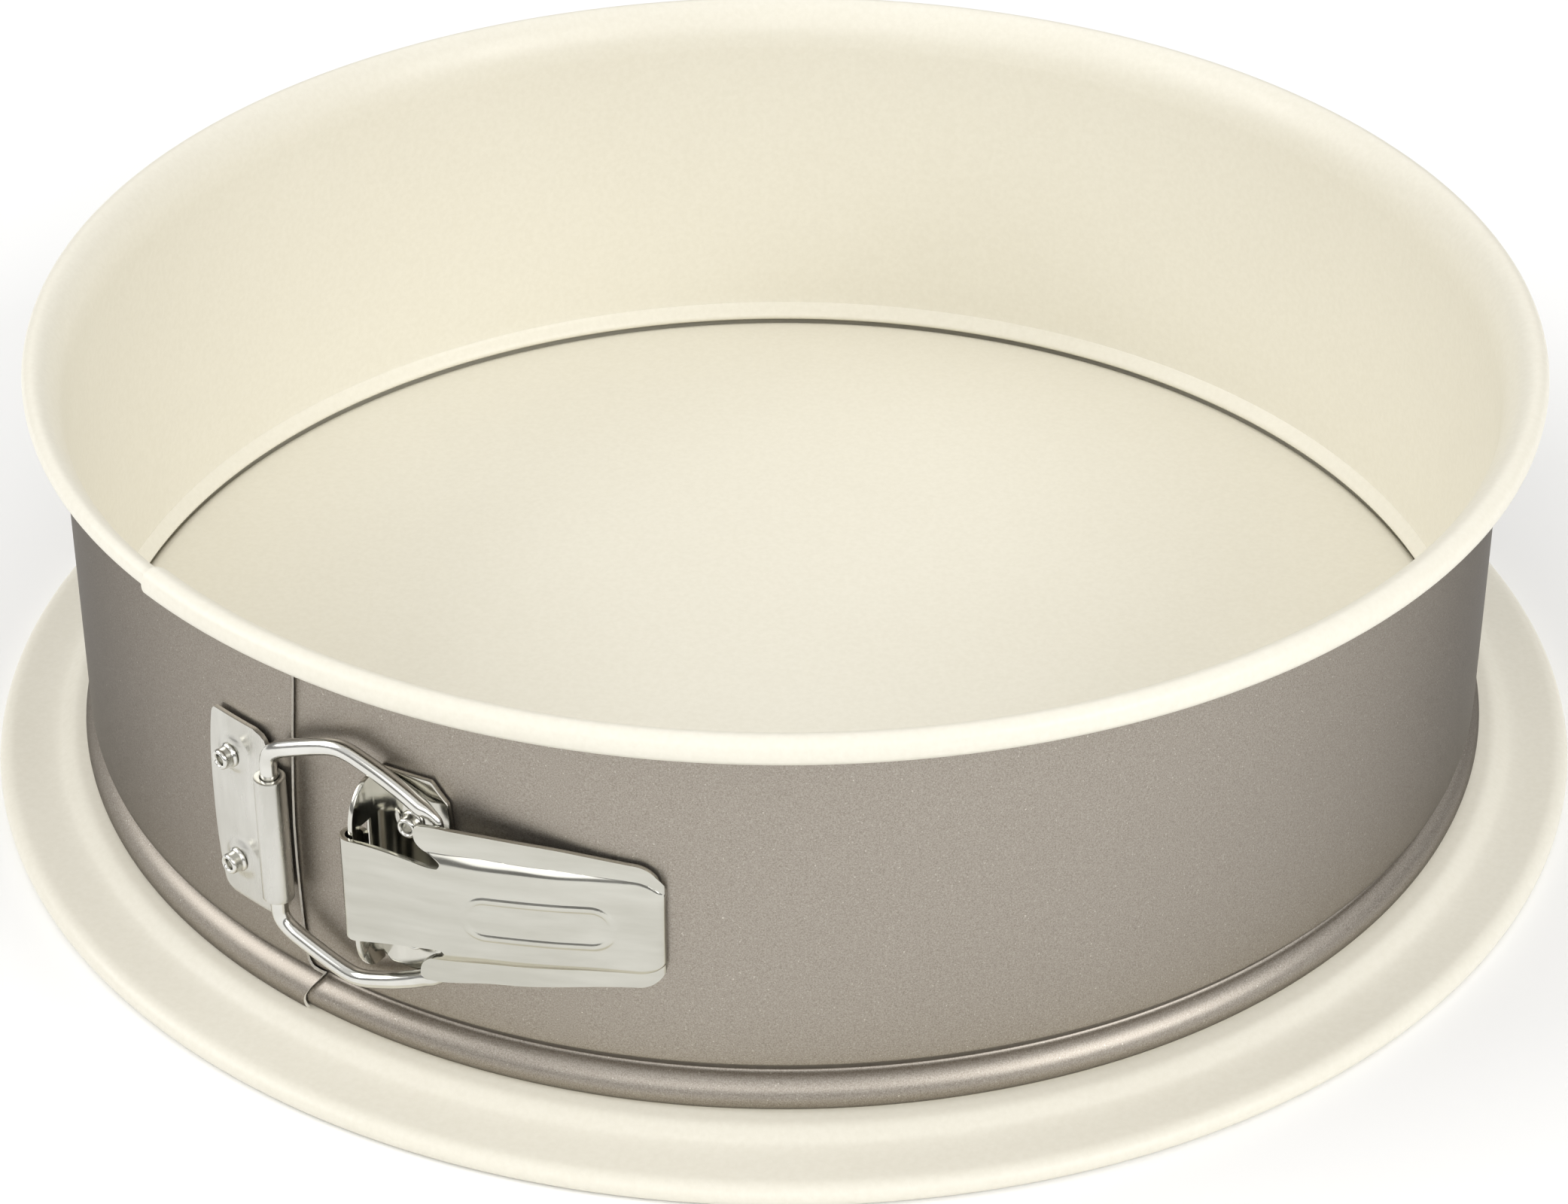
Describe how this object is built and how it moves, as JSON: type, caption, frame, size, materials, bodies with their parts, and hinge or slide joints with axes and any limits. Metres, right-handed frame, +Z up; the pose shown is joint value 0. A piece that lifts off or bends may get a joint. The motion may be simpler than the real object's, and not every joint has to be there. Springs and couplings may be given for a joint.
{
  "type": "springform pan",
  "caption": "Round springform cake pan: flanged base plate, sprung ring with a rolled rim, and a lever clasp with a wire bail.",
  "frame": {"origin": "centre of the circle that the base plate's flange stands on", "axes": "+Z up along the pan's axis; -Y points out through the clasp's lever, +X to the right when facing the clasp"},
  "size_m": [0.297, 0.297, 0.084],
  "materials": {
    "cream_coating": "satin",
    "taupe_coating": "metallic satin",
    "nickel_plate": "satin plated",
    "nickel_wire": "bright plated",
    "rivet_steel": "bright plated"
  },
  "bodies": {
    "base": {"base_plate": "cream_coating"},
    "ring_front": {"ring_right": "taupe_coating", "lever_bracket": "nickel_plate", "bracket_rivet_upper": "rivet_steel", "bracket_rivet_lower": "rivet_steel"},
    "ring_back": {"ring_rear": "taupe_coating"},
    "ring_tail": {"ring_left": "taupe_coating", "hinge_plate": "nickel_plate", "hinge_rivet_upper": "rivet_steel", "hinge_rivet_lower": "rivet_steel"},
    "bail": {"wire_bail": "nickel_wire"},
    "lever": {"lever": "nickel_plate"}
  },
  "joints": [
    {"name": "ring_lift", "type": "slide", "parent": "base", "child": "ring_front", "axis": [0, 0, 1], "range_m": [0, 0.1]},
    {"name": "lever_swing", "type": "hinge", "parent": "ring_front", "child": "lever", "pos_m": [-0.03437, -0.13195, 0.0425], "axis": [0, 0, -1], "range_deg": [0, 160]},
    {"name": "ring_flex_right", "type": "hinge", "parent": "ring_front", "child": "ring_back", "pos_m": [0.1293, -0.04706, 0.045], "axis": [0, 0, -1], "range_deg": [0, 4.59]},
    {"name": "ring_flex_left", "type": "hinge", "parent": "ring_back", "child": "ring_tail", "pos_m": [-0.1257, 0.05597, 0.045], "axis": [0, 0, -1], "range_deg": [0, 4.59]},
    {"name": "bail_swing", "type": "hinge", "parent": "ring_tail", "child": "bail", "pos_m": [-0.05222, -0.12362, 0.0425], "axis": [0, 0, -1], "range_deg": [0, 20.52]}
  ],
  "couplings": [
    {"joint": "ring_flex_right", "follows": "lever_swing", "ratio": 0.028679},
    {"joint": "ring_flex_left", "follows": "lever_swing", "ratio": 0.028679},
    {"joint": "bail_swing", "follows": "lever_swing", "ratio": 0.12823}
  ]
}
